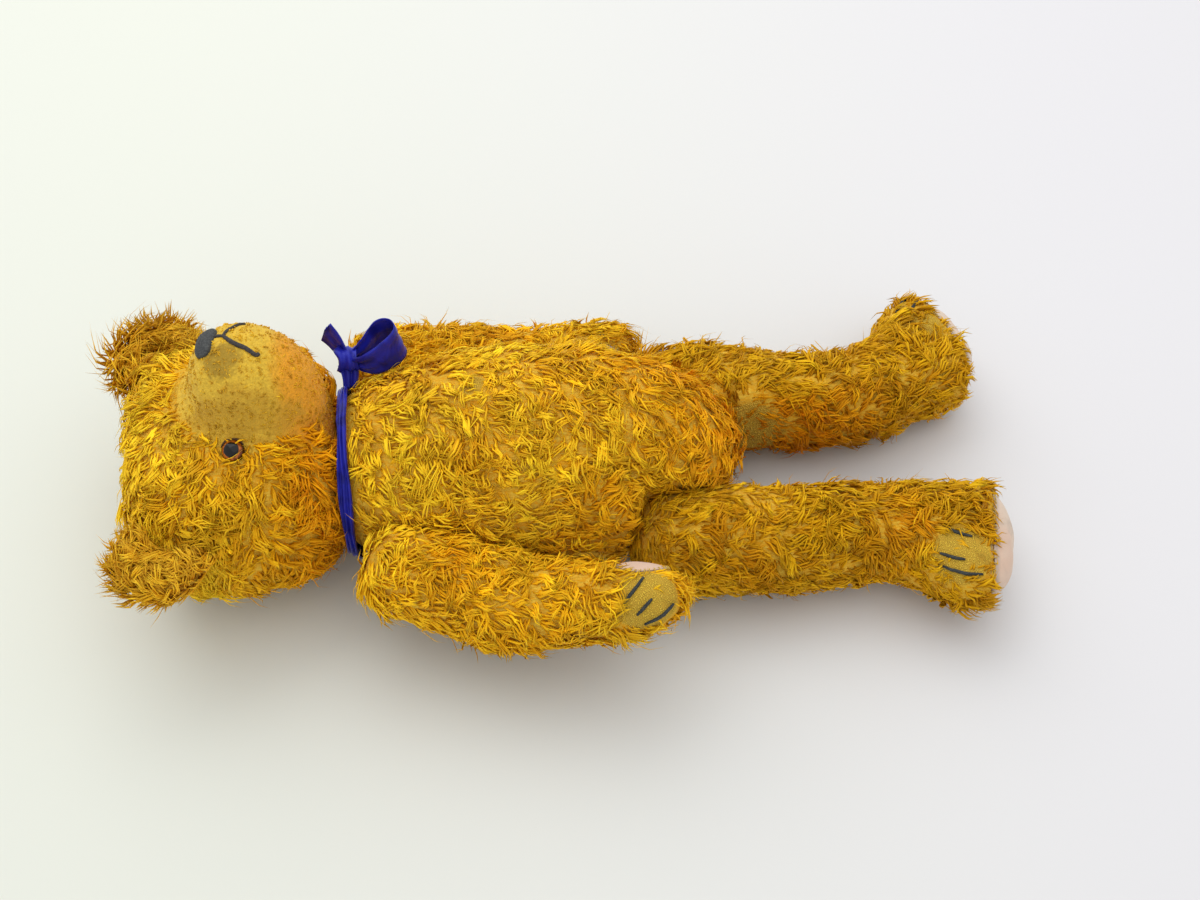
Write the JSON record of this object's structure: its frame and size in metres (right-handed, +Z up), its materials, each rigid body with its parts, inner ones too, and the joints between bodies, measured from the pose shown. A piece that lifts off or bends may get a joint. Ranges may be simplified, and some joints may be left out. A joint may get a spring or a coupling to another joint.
{
  "type": "threadbare teddy bear",
  "caption": "Old jointed mohair teddy bear lying on its back, its golden pile worn and matted, with felt pads, a glass eye, and a blue satin ribbon tied round its neck.",
  "frame": {"origin": "on the surface that the bear lies on, under its waist, on the flat that its weight presses into its back", "axes": "+X from the head to the feet, +Y to the bear's left, +Z up out of its belly"},
  "size_m": [0.4836, 0.2405, 0.1587],
  "materials": {
    "mohair": "shaggy golden mohair pile on a woven yellow backing, worn, matted and soiled",
    "wood_wool": "packed wood wool stuffing, hidden",
    "felt": "pale pink-beige felt, smudged grey",
    "thread": "dark stranded embroidery thread",
    "satin": "royal blue satin ribbon, creased",
    "eye_glass": "amber glass over a black pupil",
    "hardboard": "plain hardboard joint discs, hidden",
    "steel": "plain steel washers and split pins, hidden"
  },
  "bodies": {
    "torso": {"torso_cover": "mohair", "torso_stuffing": "wood_wool", "neck_ribbon": "satin", "torso_neck_disc": "hardboard", "torso_neck_washer": "steel", "torso_right_shoulder_disc": "hardboard", "torso_right_shoulder_washer": "steel", "torso_right_hip_disc": "hardboard", "torso_right_hip_washer": "steel", "torso_left_shoulder_disc": "hardboard", "torso_left_shoulder_washer": "steel", "torso_left_hip_disc": "hardboard", "torso_left_hip_washer": "steel"},
    "head": {"head_cover": "mohair", "head_stuffing": "wood_wool", "right_ear": "mohair", "left_ear": "mohair", "right_eye": "eye_glass", "left_eye": "eye_glass", "nose_stitching": "thread", "mouth_stitching": "thread", "head_disc": "hardboard", "head_washer": "steel", "neck_cotter_pin": "steel"},
    "right_arm": {"right_arm_cover": "mohair", "right_arm_stuffing": "wood_wool", "right_paw_pad": "felt", "right_arm_disc": "hardboard", "right_arm_washer": "steel", "right_shoulder_cotter_pin": "steel"},
    "right_leg": {"right_leg_cover": "mohair", "right_leg_stuffing": "wood_wool", "right_foot_pad": "felt", "right_leg_disc": "hardboard", "right_leg_washer": "steel", "right_hip_cotter_pin": "steel"},
    "left_arm": {"left_arm_cover": "mohair", "left_arm_stuffing": "wood_wool", "left_paw_pad": "felt", "left_arm_disc": "hardboard", "left_arm_washer": "steel", "left_shoulder_cotter_pin": "steel"},
    "left_leg": {"left_leg_cover": "mohair", "left_leg_stuffing": "wood_wool", "left_foot_pad": "felt", "left_leg_disc": "hardboard", "left_leg_washer": "steel", "left_hip_cotter_pin": "steel"}
  },
  "joints": [
    {"name": "neck", "type": "hinge", "parent": "torso", "child": "head", "pos_m": [-0.1345, 0, 0.057], "axis": [-1, 0, 0], "continuous": true},
    {"name": "right_shoulder", "type": "hinge", "parent": "torso", "child": "right_arm", "pos_m": [-0.094, -0.0505, 0.057], "axis": [0.2588, 0.9659, 0], "range_deg": [-105, 100]},
    {"name": "left_shoulder", "type": "hinge", "parent": "torso", "child": "left_arm", "pos_m": [-0.1015, 0.0495, 0.055], "axis": [-0.2079, 0.9781, 0], "range_deg": [-120, 75], "deforming": ["neck_ribbon"]},
    {"name": "right_hip", "type": "hinge", "parent": "torso", "child": "right_leg", "pos_m": [0.048, -0.026, 0.043], "axis": [-0.0349, 0.9697, 0.2418], "range_deg": [-90, 45]},
    {"name": "left_hip", "type": "hinge", "parent": "torso", "child": "left_leg", "pos_m": [0.048, 0.026, 0.043], "axis": [0.0698, 0.9679, -0.2413], "range_deg": [-90, 45]}
  ]
}
